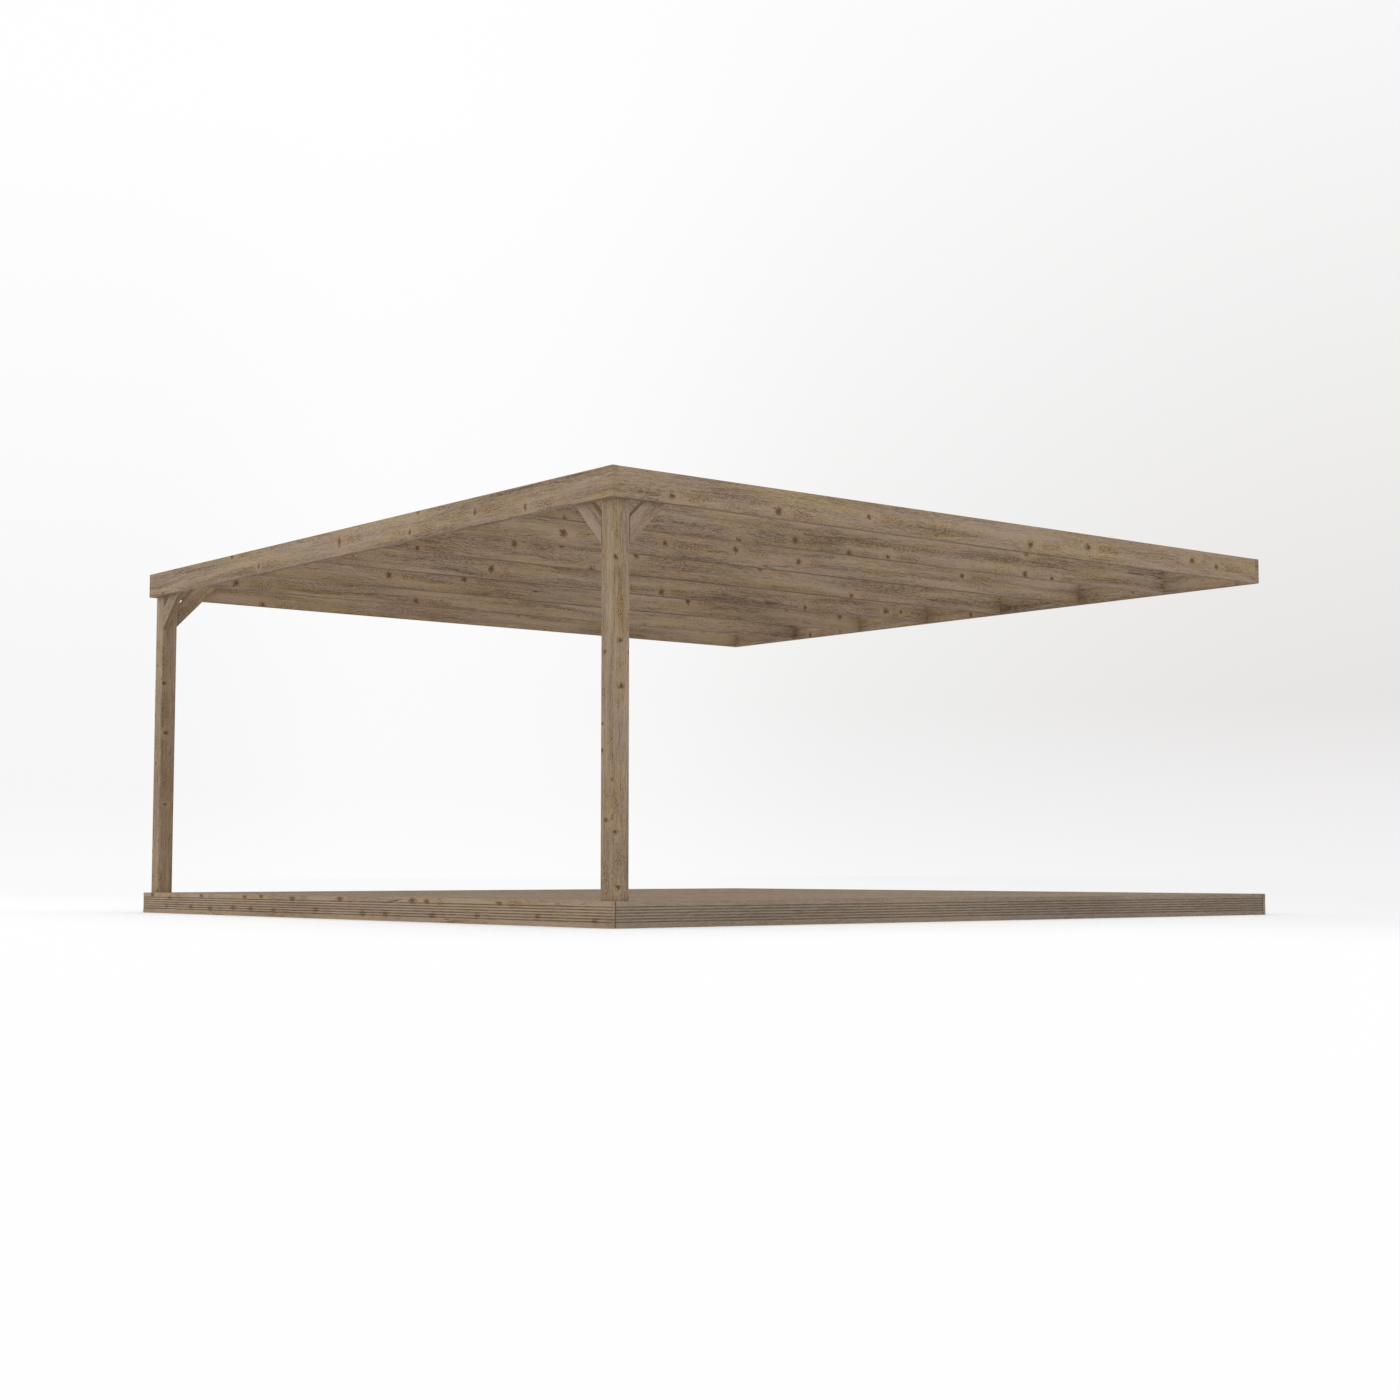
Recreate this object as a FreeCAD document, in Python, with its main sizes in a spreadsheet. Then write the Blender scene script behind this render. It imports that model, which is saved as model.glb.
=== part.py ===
import FreeCAD, Part
import Sketcher
import os
import re

# Wall-mounted pergola: a flat open roof frame on a wall ledger and two front
# posts with knee braces, over a low deck with grooved edge boards.
# Millimetres. X runs along the wall, +Y points into the wall, +Z is up.
# The origin is the middle of the ledger's back face, where it meets the wall.

os.makedirs("parts", exist_ok=True)
doc = FreeCAD.newDocument("wall_pergola")
sheet = doc.addObject("Spreadsheet::Sheet", "sizes")

# Driving sizes, each with what it measures
SIZES = [
    ("frame_length", 6000, "roof and deck along the wall"),
    ("frame_depth", 6000, "roof and deck from the wall to the front"),
    ("beam_thickness", 42, "ledger, beams and rafters"),
    ("beam_height", 180, "ledger, beams and rafters"),
    ("rafter_count", 6, "rafters between the two side beams"),
    ("beam_arris", 3, "eased long edges of the roof timbers"),
    ("head_room", 2292, "deck top to the underside of the roof frame"),
    ("post_width", 118, "square post"),
    ("post_arris", 6, "eased long edges of the posts"),
    ("brace_thickness", 45, "knee brace across its face"),
    ("brace_depth", 111, "knee brace square to its length"),
    ("brace_drop", 257, "frame underside down to a brace's lower toe"),
    ("brace_top_gap", 20, "top of the frame down to a brace's head"),
    ("brace_arris", 3, "eased long edges of the braces"),
    ("deck_height", 153, "ground to the deck top"),
    ("edge_thickness", 28, "grooved edge board round the deck"),
    ("edge_grooves", 6, "grooves on an edge board"),
    ("groove_mouth", 9, "width of a groove at the board's face"),
    ("groove_floor", 5, "width of a groove at its floor"),
    ("groove_depth", 3, "groove into the board"),
    ("groove_pitch", 17, "groove centre to groove centre"),
    ("joist_thickness", 45, "joist under the deck"),
    ("joist_count", 13, "joists from front to wall"),
    ("joist_arris", 2, "eased long edges of the joists"),
    ("board_thickness", 28, "deck board"),
    ("board_gap", 4, "between deck boards"),
    ("board_arris", 3, "eased upper edges of the deck boards"),
    ("board_grooves", 8, "grooves on the top of a deck board"),
    ("group_boards", 10, "boards in each group of the decking"),
    ("group_count", 4, "groups of boards along the wall"),
]

for row, (alias, value, meaning) in enumerate(SIZES, start=1):
    sheet.set(f"A{row}", alias)
    sheet.set(f"B{row}", str(value))
    sheet.set(f"C{row}", meaning)
    sheet.setAlias(f"B{row}", alias)
doc.recompute()

ALIASES = [alias for alias, value, meaning in SIZES]
ALIAS_WORD = re.compile(r"\b(" + "|".join(ALIASES) + r")\b")

# Levels and runs that several pieces share, as formulas of the sizes
FRAME_UNDERSIDE = "(-beam_height / 2)"
DECK_TOP = "(-beam_height / 2 - head_room)"
GROUND = "(-beam_height / 2 - head_room - deck_height)"
LEFT = "(-frame_length / 2)"
RIGHT = "(frame_length / 2)"
FRONT = "(-frame_depth)"
RAFTER_PITCH = "((frame_length - beam_thickness) / (rafter_count + 1))"
JOIST_HEIGHT = "(deck_height - board_thickness)"
DECK_INNER_LENGTH = "(frame_length - 2 * edge_thickness)"
DECK_INNER_DEPTH = "(frame_depth - 2 * edge_thickness)"
JOIST_PITCH = f"(({DECK_INNER_DEPTH} - joist_thickness) / (joist_count - 1))"
BOARD_PITCH = f"(({DECK_INNER_LENGTH} + board_gap) / (group_boards * group_count))"
BOARD_WIDTH = f"({BOARD_PITCH} - board_gap)"
EDGE_GROOVE_FIELD = "(groove_pitch * (edge_grooves - 1))"
BOARD_GROOVE_FIELD = "(groove_pitch * (board_grooves - 1))"

# Sketch plane for a timber that runs along each axis, and whether its pad is turned round
PLANE = {"X": "YZ_Plane", "Y": "XZ_Plane", "Z": "XY_Plane"}
TURNED = {"X": False, "Y": True, "Z": False}
DIRECTION = {"X": FreeCAD.Vector(1, 0, 0), "Y": FreeCAD.Vector(0, 1, 0), "Z": FreeCAD.Vector(0, 0, 1)}

# Largest sine between two directions that count as parallel
PARALLEL = 1e-6

sub_parts = []


def bound(formula):
    """The formula with each size named as a cell of the sheet."""
    return ALIAS_WORD.sub(r"sizes.\1", formula)


def value_of(formula):
    """What a formula comes to with the sheet's sizes."""
    return float(sheet.evalExpression(formula))


def count(alias):
    """A whole number from the sheet."""
    return round(value_of(alias))


def new_body(name, place):
    """An empty body, its corner placed by three formulas."""
    body = doc.addObject("PartDesign::Body", name)
    body.Label = name
    for axis, formula in zip("xyz", place):
        body.setExpression(f"Placement.Base.{axis}", bound(formula))
    sub_parts.append(body)
    return body


def origin_item(body, role):
    """One of the body's own origin planes or axes."""
    return next(item for item in body.Origin.OriginFeatures if item.Role == role)


def outline(body, name, role, corners):
    """A closed straight-sided sketch whose corners are pairs of formulas."""
    sketch = body.newObject("Sketcher::SketchObject", name)
    sketch.AttachmentSupport = [(origin_item(body, role), "")]
    sketch.MapMode = "FlatFace"
    doc.recompute()
    values = [[value_of(formula) for formula in corner] for corner in corners]
    for number, start in enumerate(values):
        end = values[(number + 1) % len(values)]
        line = Part.LineSegment(FreeCAD.Vector(*start, 0), FreeCAD.Vector(*end, 0))
        sketch.addGeometry(line, False)
    for number in range(len(corners)):
        following = (number + 1) % len(corners)
        sketch.addConstraint(Sketcher.Constraint("Coincident", number, 2, following, 1))
    for number, corner in enumerate(corners):
        for kind, axis, formula in zip(("DistanceX", "DistanceY"), (-2, -1), corner):
            if formula == "0":
                sketch.addConstraint(Sketcher.Constraint("PointOnObject", number, 1, axis))
                continue
            value = value_of(formula)
            place = sketch.addConstraint(Sketcher.Constraint(kind, -1, 1, number, 1, value))
            sketch.setExpression(f"Constraints[{place}]", bound(formula))
    return sketch


def box_outline(body, role, width, height):
    """A rectangle from the origin, its two sides given as formulas."""
    corners = [("0", "0"), (width, "0"), (width, height), ("0", height)]
    return outline(body, body.Name + "_section", role, corners)


def pad(body, sketch, length, turned):
    """The sketch drawn out to a length."""
    feature = body.newObject("PartDesign::Pad", body.Name + "_pad")
    feature.Profile = sketch
    feature.setExpression("Length", bound(length))
    feature.Reversed = turned
    doc.recompute()
    return feature


def ease(body, feature, direction, arris):
    """A small flat on each edge that runs along a direction."""
    names = []
    for number, edge in enumerate(feature.Shape.Edges, start=1):
        along = edge.tangentAt(edge.FirstParameter)
        if along.cross(direction).Length < PARALLEL:
            names.append(f"Edge{number}")
    chamfer = body.newObject("PartDesign::Chamfer", body.Name + "_arris")
    chamfer.Base = (feature, names)
    chamfer.setExpression("Size", bound(arris))
    doc.recompute()


def timber(name, axis, section, length, place, arris):
    """A sawn timber along one axis with eased long edges."""
    body = new_body(name, place)
    sketch = box_outline(body, PLANE[axis], *section)
    stick = pad(body, sketch, length, TURNED[axis])
    ease(body, stick, DIRECTION[axis], arris)


def roof_timber(name, axis, length, place):
    """A ledger, beam or rafter: all share one section."""
    section = ("beam_thickness", "beam_height")
    timber(name, axis, section, length, place, "beam_arris")


def roof_frame():
    """Ledger and front beam across the full length, side beams and rafters between."""
    roof_timber("wall_ledger", "X", "frame_length", (LEFT, "-beam_thickness", FRAME_UNDERSIDE))
    roof_timber("front_beam", "X", "frame_length", (LEFT, FRONT, FRAME_UNDERSIDE))
    between = "frame_depth - 2 * beam_thickness"
    start = f"{FRONT} + beam_thickness"
    rafters = count("rafter_count")
    for number in range(rafters + 2):
        name = {0: "side_beam_left", rafters + 1: "side_beam_right"}.get(number, f"rafter_{number}")
        place = (f"{LEFT} + {number} * {RAFTER_PITCH}", start, FRAME_UNDERSIDE)
        roof_timber(name, "Y", between, place)


def post(name, corner_x):
    """A square post on the deck, inside a front corner of the roof frame, up to its top."""
    place = (corner_x, f"{FRONT} + beam_thickness", DECK_TOP)
    height = "head_room + beam_height"
    timber(name, "Z", ("post_width", "post_width"), height, place, "post_arris")


def knee_brace(name, role, place, mirrored):
    """A brace at 45 degrees from a post's face up inside the roof frame."""
    body = new_body(name, place)
    plumb = "brace_depth * sqrt(2)"
    head = "brace_drop + beam_height - brace_top_gap"
    side = "-1 * " if mirrored else ""
    corners = [
        ("0", "0"),
        (f"{side}({head})", head),
        (f"{side}({head} - {plumb})", head),
        ("0", plumb),
    ]
    sketch = outline(body, name + "_face", role, corners)
    along_front = role == "XZ_Plane"
    stick = pad(body, sketch, "brace_thickness", along_front)
    level = DIRECTION["X"] if along_front else DIRECTION["Y"]
    rising = DIRECTION["Z"] + level * (-1 if mirrored else 1)
    ease(body, stick, rising.normalize(), "brace_arris")


def posts_and_braces():
    """Both posts, each with a brace along the front beam and one along its side beam."""
    toe = f"{FRAME_UNDERSIDE} - brace_drop"
    front_row = f"{FRONT} + beam_thickness"
    behind_post = f"{front_row} + post_width"
    left_post = f"{LEFT} + beam_thickness"
    right_post = f"{RIGHT} - beam_thickness - post_width"
    post("post_left", left_post)
    post("post_right", right_post)
    knee_brace("brace_front_left", "XZ_Plane", (f"{left_post} + post_width", front_row, toe), False)
    knee_brace("brace_front_right", "XZ_Plane", (right_post, front_row, toe), True)
    knee_brace("brace_side_left", "YZ_Plane", (left_post, behind_post, toe), False)
    right_brace = f"{RIGHT} - beam_thickness - brace_thickness"
    knee_brace("brace_side_right", "YZ_Plane", (right_brace, behind_post, toe), False)


def edge_board(name, axis, length, place, far_face):
    """A deck edge board with lengthwise grooves on its near or its far face."""
    body = new_body(name, place)
    sketch = box_outline(body, PLANE[axis], "edge_thickness", "deck_height")
    stick = pad(body, sketch, length, TURNED[axis])
    lowest = f"(deck_height - {EDGE_GROOVE_FIELD}) / 2"
    mouth = "edge_thickness" if far_face else "0"
    floor = "edge_thickness - groove_depth" if far_face else "groove_depth"
    corners = [
        (mouth, f"{lowest} - groove_mouth / 2"),
        (floor, f"{lowest} - groove_floor / 2"),
        (floor, f"{lowest} + groove_floor / 2"),
        (mouth, f"{lowest} + groove_mouth / 2"),
    ]
    groove_sketch = outline(body, name + "_groove", PLANE[axis], corners)
    groove = body.newObject("PartDesign::Pocket", name + "_first_groove")
    groove.Profile = groove_sketch
    groove.setExpression("Length", bound(length))
    groove.Reversed = not TURNED[axis]
    doc.recompute()
    rows = body.newObject("PartDesign::LinearPattern", name + "_grooves")
    rows.Originals = [groove]
    rows.Direction = (origin_item(body, "Z_Axis"), [""])
    rows.setExpression("Length", bound(EDGE_GROOVE_FIELD))
    rows.setExpression("Occurrences", bound("edge_grooves"))
    body.Tip = rows
    doc.recompute()
    if rows.Shape.Volume >= stick.Shape.Volume:
        raise ValueError(f"{name}: the grooves cut nothing")


def deck_edges():
    """Front and back boards the full length, side boards between them."""
    back = "-edge_thickness"
    edge_board("deck_edge_front", "X", "frame_length", (LEFT, FRONT, GROUND), False)
    edge_board("deck_edge_back", "X", "frame_length", (LEFT, back, GROUND), True)
    start = f"{FRONT} + edge_thickness"
    edge_board("deck_edge_left", "Y", DECK_INNER_DEPTH, (LEFT, start, GROUND), False)
    right_edge = f"{RIGHT} - edge_thickness"
    edge_board("deck_edge_right", "Y", DECK_INNER_DEPTH, (right_edge, start, GROUND), True)


def deck_joists():
    """Joists along the wall's direction, from edge board to edge board."""
    section = ("joist_thickness", JOIST_HEIGHT)
    for number in range(count("joist_count")):
        across = f"{FRONT} + edge_thickness + {number} * {JOIST_PITCH}"
        place = (f"{LEFT} + edge_thickness", across, GROUND)
        name = f"deck_joist_{number + 1:02d}"
        timber(name, "X", section, DECK_INNER_LENGTH, place, "joist_arris")


def decking():
    """Boards from front to wall on the joists, in groups that share a node."""
    board_level = f"{DECK_TOP} - board_thickness"
    for number in range(count("group_count")):
        first = f"{LEFT} + edge_thickness + {number} * group_boards * {BOARD_PITCH}"
        place = (first, f"{FRONT} + edge_thickness", board_level)
        name = f"deck_boards_{number + 1}"
        body = new_body(name, place)
        body.AllowCompound = True
        sketch = board_outline(body)
        board = pad(body, sketch, DECK_INNER_DEPTH, True)
        row = body.newObject("PartDesign::LinearPattern", name + "_row")
        row.Originals = [board]
        row.Direction = (origin_item(body, "X_Axis"), [""])
        row.setExpression("Length", bound(f"{BOARD_PITCH} * (group_boards - 1)"))
        row.setExpression("Occurrences", bound("group_boards"))
        body.Tip = row
        doc.recompute()


def board_outline(body):
    """Section of a deck board: flat below, grooved above, its upper edges eased."""
    shoulder = "board_thickness - board_arris"
    floor = "board_thickness - groove_depth"
    first = f"({BOARD_WIDTH} - {BOARD_GROOVE_FIELD}) / 2"
    corners = [("0", "0"), ("0", shoulder), ("board_arris", "board_thickness")]
    for number in range(count("board_grooves")):
        middle = f"{first} + {number} * groove_pitch"
        corners += [
            (f"{middle} - groove_mouth / 2", "board_thickness"),
            (f"{middle} - groove_floor / 2", floor),
            (f"{middle} + groove_floor / 2", floor),
            (f"{middle} + groove_mouth / 2", "board_thickness"),
        ]
    corners += [
        (f"{BOARD_WIDTH} - board_arris", "board_thickness"),
        (BOARD_WIDTH, shoulder),
        (BOARD_WIDTH, "0"),
    ]
    return outline(body, body.Name + "_section", "XZ_Plane", corners)


def check_model():
    """Every object up to date and every sub-part a sound solid."""
    for item in doc.Objects:
        if "Invalid" in item.State or "Error" in item.State:
            raise ValueError(f"{item.Label} failed: {item.State}")
    for body in sub_parts:
        if body.Shape.isNull() or not body.Shape.isValid():
            raise ValueError(f"{body.Label} has no valid shape")
        if body.Shape.Volume <= 0:
            raise ValueError(f"{body.Label} has no volume")


roof_frame()
posts_and_braces()
deck_edges()
deck_joists()
decking()
doc.recompute()
check_model()

for body in sub_parts:
    body.Shape.exportStep(f"parts/{body.Label}.step")
    bounds = body.Shape.BoundBox
    spans = (bounds.XMin, bounds.XMax, bounds.YMin, bounds.YMax, bounds.ZMin, bounds.ZMax)
    spans_text = " ".join(f"{value:.1f}" for value in spans)
    print(body.Label, len(body.Shape.Solids), "solids", spans_text)
print(len(sub_parts), "sub-parts written")
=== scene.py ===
# %% [markdown]
# # A wall-mounted pergola of weathered timber
# The real thing is an open roof frame of sawn timber. Its back rests on a ledger that is fixed
# to a house wall, its front on two posts with knee braces, and a low deck lies under it.
# The solid shapes are already made at their real size, so this script loads them as a fixed
# frame and spends its effort on what the eye reads as wood: growth rings, knots, fibres,
# drying cracks, worn edges and dirt in the grooves.
# Everything is in metres. X runs along the wall, +Y points into the wall and +Z is up. The
# origin is the middle of the ledger's back face.

# %% Load the frame
import bpy
from math import cos, radians, sin
from mathutils import Matrix, Vector


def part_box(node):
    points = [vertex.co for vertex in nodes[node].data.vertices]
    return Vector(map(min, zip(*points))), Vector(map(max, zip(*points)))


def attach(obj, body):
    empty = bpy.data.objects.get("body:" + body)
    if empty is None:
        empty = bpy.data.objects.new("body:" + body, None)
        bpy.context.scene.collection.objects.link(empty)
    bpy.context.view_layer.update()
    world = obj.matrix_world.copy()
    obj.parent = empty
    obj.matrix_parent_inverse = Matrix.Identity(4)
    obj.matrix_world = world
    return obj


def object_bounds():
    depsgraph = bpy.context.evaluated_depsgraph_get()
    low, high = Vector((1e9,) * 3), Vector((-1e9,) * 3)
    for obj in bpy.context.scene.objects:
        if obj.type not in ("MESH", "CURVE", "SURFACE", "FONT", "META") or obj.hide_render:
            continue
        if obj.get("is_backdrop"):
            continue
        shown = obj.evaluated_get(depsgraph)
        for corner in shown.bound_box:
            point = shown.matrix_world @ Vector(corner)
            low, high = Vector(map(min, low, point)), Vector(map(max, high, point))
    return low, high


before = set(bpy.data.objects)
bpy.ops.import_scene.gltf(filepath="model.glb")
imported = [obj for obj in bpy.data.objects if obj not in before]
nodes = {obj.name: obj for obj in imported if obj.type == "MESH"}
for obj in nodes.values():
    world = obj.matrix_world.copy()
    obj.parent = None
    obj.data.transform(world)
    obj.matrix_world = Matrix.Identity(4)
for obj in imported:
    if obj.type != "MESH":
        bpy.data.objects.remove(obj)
solid_low, solid_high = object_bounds()
print(len(nodes), "timber pieces, from", [round(v, 3) for v in solid_low],
      "to", [round(v, 3) for v in solid_high])

# %% [markdown]
# ## A short way to write node trees
# A wood material is a chain of sums on the place of each point. Written with Blender's own
# calls, each sum takes three or four lines. This small helper makes a node, sets it and joins
# its inputs in one call, so that the steps below read like the sums that they are. The one
# used most is the ramp: it turns a measure into a soft step, up or down, between two values.

# %% A helper for node trees
class Graph:
    """A node tree with short calls to add nodes and join them."""

    def __init__(self, tree):
        self.tree = tree

    def put(self, value, socket):
        """A plain value or another node's output goes into a socket."""
        if isinstance(value, bpy.types.NodeSocket):
            self.tree.links.new(value, socket)
        else:
            socket.default_value = value

    def node(self, kind, values=(), **settings):
        """A new node. Its values come by name in a dictionary, or else in their order."""
        made = self.tree.nodes.new(kind)
        for name, setting in settings.items():
            setattr(made, name, setting)
        placed = values if isinstance(values, dict) else dict(enumerate(values))
        for place, value in placed.items():
            self.put(value, made.inputs[place])
        return made

    def sum(self, operation, *values):
        return self.node("ShaderNodeMath", values, operation=operation).outputs[0]

    def plus(self, first, second):
        return self.sum("ADD", first, second)

    def minus(self, first, second):
        return self.sum("SUBTRACT", first, second)

    def times(self, first, *others):
        for other in others:
            first = self.sum("MULTIPLY", first, other)
        return first

    def times_plus(self, first, factor, added):
        return self.sum("MULTIPLY_ADD", first, factor, added)

    def larger(self, first, second):
        return self.sum("MAXIMUM", first, second)

    def unsigned(self, value):
        return self.sum("ABSOLUTE", value)

    def vector(self, operation, *values):
        """A sum on whole vectors. A length or a dot product comes out as one number."""
        made = self.node("ShaderNodeVectorMath", values, operation=operation)
        return made.outputs["Value" if operation in ("LENGTH", "DOT_PRODUCT") else "Vector"]

    def scaled(self, vector, factors):
        return self.vector("MULTIPLY", vector, factors)

    def split(self, vector):
        made = self.node("ShaderNodeSeparateXYZ", (vector,))
        return made.outputs[0], made.outputs[1], made.outputs[2]

    def join(self, x, y, z):
        return self.node("ShaderNodeCombineXYZ", (x, y, z)).outputs[0]

    def noise(self, vector, detail=2.0, rough=0.5):
        values = {"Vector": vector, "Scale": 1.0, "Detail": detail, "Roughness": rough}
        return self.node("ShaderNodeTexNoise", values).outputs["Fac"]

    def ramp(self, value, start, end, low=0.0, high=1.0):
        """A soft step: low up to start, high from end on."""
        values = (value, start, end, low, high)
        return self.node("ShaderNodeMapRange", values, interpolation_type="SMOOTHSTEP").outputs[0]

    def blend(self, amount, first, second, mode="MIX"):
        """Two colours blended. A colour mix node takes them at its inputs 6 and 7."""
        values = {0: amount, 6: first, 7: second}
        return self.node("ShaderNodeMix", values, data_type="RGBA", blend_type=mode).outputs[2]

    def tones(self, value, stops):
        """A value from 0 to 1 picks a colour between the stops."""
        made = self.node("ShaderNodeValToRGB", (value,))
        elements = made.color_ramp.elements
        for number, (position, shade) in enumerate(stops):
            if number < len(elements):
                stop = elements[number]
                stop.position = position
            else:
                stop = elements.new(position)
            stop.color = (*shade, 1.0)
        return made.outputs[0]

    def report(self, stage):
        """Says how far the tree has grown."""
        print(f"{self.tree.name}, {stage}: {len(self.tree.nodes)} nodes")


def colour(red, green, blue):
    """A colour with full alpha, as a colour socket takes it."""
    return (red, green, blue, 1.0)


def new_group(name, inputs, outputs):
    """A shader group with named sockets, each given with its kind and its first value."""
    tree = bpy.data.node_groups.new(name, "ShaderNodeTree")
    for label, kind, value in inputs:
        socket = tree.interface.new_socket(label, in_out="INPUT", socket_type=kind)
        if value is not None:
            socket.default_value = value
    for label, kind in outputs:
        tree.interface.new_socket(label, in_out="OUTPUT", socket_type=kind)
    graph = Graph(tree)
    return graph, graph.node("NodeGroupInput").outputs, graph.node("NodeGroupOutput").inputs


VALUE = "NodeSocketFloat"
PLACE = "NodeSocketVector"
COLOUR = "NodeSocketColor"
print("calls of the helper:", [call for call in vars(Graph) if call[0] != "_"])

# %% [markdown]
# ## Knots
# A knot is where a branch left the trunk. On a beam it is a dark, nearly round spot three to
# five centimetres across, about one to the metre, and the grain swerves round it.
# Knots could be placed by hand, but there are over seventy timbers. So a Voronoi texture
# scatters points. Measured in stretched space they lie far apart along the timber and close
# together across it. The offset to the nearest point, turned back into metres, gives a round
# spot and also says which way the grain is pushed aside. Dark flecks trail behind a knot, so
# the group marks that stretch as well.

# %% Group: knots
KNOT_CELLS = (1.5, 5.2, 1.0)          # cells to the metre, along and across
KNOT_SCATTER = 0.8                    # 0 is a plain grid, 1 is fully random
KNOT_SHAPE = (1.20, 0.90, 1.0)        # a knot is a little higher than it is long
KNOT_RADII = (0.016, 0.024)
KNOT_REACH = 0.075                    # how far from it the grain still swerves
KNOT_SWERVE = 0.6
OUTLINE_NOISE = (60.0, 60.0, 1.0)     # makes the outline uneven
TRAIL_STARTS = (0.06, 0.14)           # metres along from the knot
TRAIL_ENDS = (0.42, 0.24)
TRAIL_SIDES = (0.045, 0.015)

knots, given, result = new_group(
    "knots",
    [("Place", PLACE, None), ("Share", VALUE, 0.6), ("Spacing", VALUE, 1.0),
     ("Length", VALUE, 1.0)],
    [("Distance", VALUE), ("Size", VALUE), ("Push", VALUE), ("Behind", VALUE)],
)
spacing = knots.join(given["Spacing"], given["Spacing"], 1.0)
cells = knots.vector("DIVIDE", KNOT_CELLS, spacing)
stretched = knots.scaled(given["Place"], cells)
scatter = knots.node("ShaderNodeTexVoronoi", {
    "Vector": stretched, "Scale": 1.0, "Randomness": KNOT_SCATTER,
}, voronoi_dimensions="2D", feature="F1").outputs
offset = knots.vector("SUBTRACT", stretched, scatter["Position"])
metres = knots.scaled(knots.vector("DIVIDE", offset, cells), (1.0, 1.0, 0.0))
shape = knots.vector("DIVIDE", KNOT_SHAPE, knots.join(given["Length"], 1.0, 1.0))
distance = knots.vector("LENGTH", knots.scaled(metres, shape))
wobble = knots.noise(knots.scaled(given["Place"], OUTLINE_NOISE))
uneven = knots.times(distance, knots.ramp(wobble, 0.25, 0.75, 0.5, 1.5))

# Each point has random numbers of its own. One picks its size, one whether it is a knot at all
pick_size, pick_knot, _ = knots.split(scatter["Color"])
present = knots.sum("LESS_THAN", pick_knot, given["Share"])
knot_size = knots.times(present, knots.ramp(pick_size, 0.0, 1.0, *KNOT_RADII),
                        knots.sum("SQRT", given["Spacing"]))
knot_along, knot_across, _ = knots.split(metres)
near = knots.ramp(distance, 0.0, KNOT_REACH, KNOT_SWERVE, 0.0)
trail = knots.times(knots.ramp(knot_along, *TRAIL_STARTS), knots.ramp(knot_along, *TRAIL_ENDS),
                    knots.ramp(knots.unsigned(knot_across), *TRAIL_SIDES))
knots.put(uneven, result["Distance"])
knots.put(knot_size, result["Size"])
knots.put(knots.times(knot_across, near, present), result["Push"])
knots.put(knots.times(trail, present), result["Behind"])
knots.report("complete")

# %% [markdown]
# ## Growth rings
# A tree adds a pale layer in spring and a thin dark one in late summer. A sawn timber cuts
# through these rings at a shallow angle, which draws long flames on its broad faces and arcs
# on its ends. A Wave texture gives stripes of one width, which look printed. So the rings are
# made as what they are: the distance from the heart of the trunk, which lies beside the
# timber, divided into years. Slow noise bends them, and a finer one makes years of unequal
# width.

# %% Group: growth rings
RING_WIDTH = 0.0055                   # one year's growth
RING_BEND = 0.055
RING_JITTER = 0.6                     # years
HEART_ASIDE = (-0.06, 0.06)
HEART_BELOW = (-0.13, -0.07)
DARKEST_PART = 0.85                   # of the year: late summer

rings, given, result = new_group(
    "growth rings",
    [("Place", PLACE, None), ("Face place", PLACE, None), ("Seed", VALUE, 0.0)],
    [("Late wood", VALUE)],
)
slow_bend = rings.noise(rings.scaled(given["Face place"], (1.1, 3.0, 1.0)))
bend = rings.ramp(slow_bend, 0.2, 0.8, -RING_BEND, RING_BEND)
_, ring_across, ring_through = rings.split(given["Place"])
# The seed picks the heart's place
pick_aside = rings.sum("FRACT", rings.times(given["Seed"], 0.377))
pick_below = rings.sum("FRACT", rings.times(given["Seed"], 0.713))
heart_aside = rings.ramp(pick_aside, 0.0, 1.0, *HEART_ASIDE)
heart_below = rings.ramp(pick_below, 0.0, 1.0, *HEART_BELOW)
radius = rings.vector("LENGTH", rings.join(
    0.0,
    rings.minus(ring_across, heart_aside),
    rings.minus(rings.plus(ring_through, bend), heart_below),
))
jitter = rings.noise(rings.scaled(given["Face place"], (7.0, 60.0, 1.0)))
years = rings.plus(rings.sum("DIVIDE", radius, RING_WIDTH),
                   rings.ramp(jitter, 0.2, 0.8, -RING_JITTER, RING_JITTER))
part = rings.sum("FRACT", years)
rings.put(rings.minus(rings.ramp(part, 0.2, DARKEST_PART), rings.ramp(part, DARKEST_PART, 1.0)),
          result["Late wood"])
rings.report("complete")

# %% [markdown]
# ## The weathered timber: its inputs
# One group dresses every timber of the pergola. It takes the place along, across and through a
# timber whose middle is at zero, so it doesn't matter which way the piece lies. The three half
# sizes tell it where the faces, edges and ends are. The rest are amounts that make one timber
# knottier, greyer, darker or more strongly figured than the next. A material for each piece
# with all its nodes copied would look the same, but any change would have to be made often.

# %% Timber group: inputs
timber, given, result = new_group(
    "weathered timber",
    [
        ("Place", PLACE, None), ("Seed", VALUE, 0.0),
        ("Half along", VALUE, 3.0), ("Half across", VALUE, 0.09), ("Half through", VALUE, 0.021),
        ("Knots", VALUE, 0.80), ("Knot spacing", VALUE, 1.0), ("Knot length", VALUE, 1.0),
        ("Joint dirt and shade", VALUE, 0.0), ("Grey", VALUE, 0.0), ("Figure", VALUE, 1.0),
        ("Tone", VALUE, 0.0),
    ],
    [("Colour", COLOUR), ("Roughness", VALUE), ("Height", VALUE)],
)
seed = given["Seed"]
figure = given["Figure"]
timber.report("inputs")

# %% [markdown]
# ## A place on each face
# The patterns are flat, like the faces they lie on: they run along the timber and from side to
# side of a face. A solid texture would need no such care, but it smears on the narrow faces,
# where it is stretched along the grain. So each point first finds out whether it is on a broad
# face or a narrow one. The seed moves every timber to a stretch of the pattern of its own.

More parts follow.
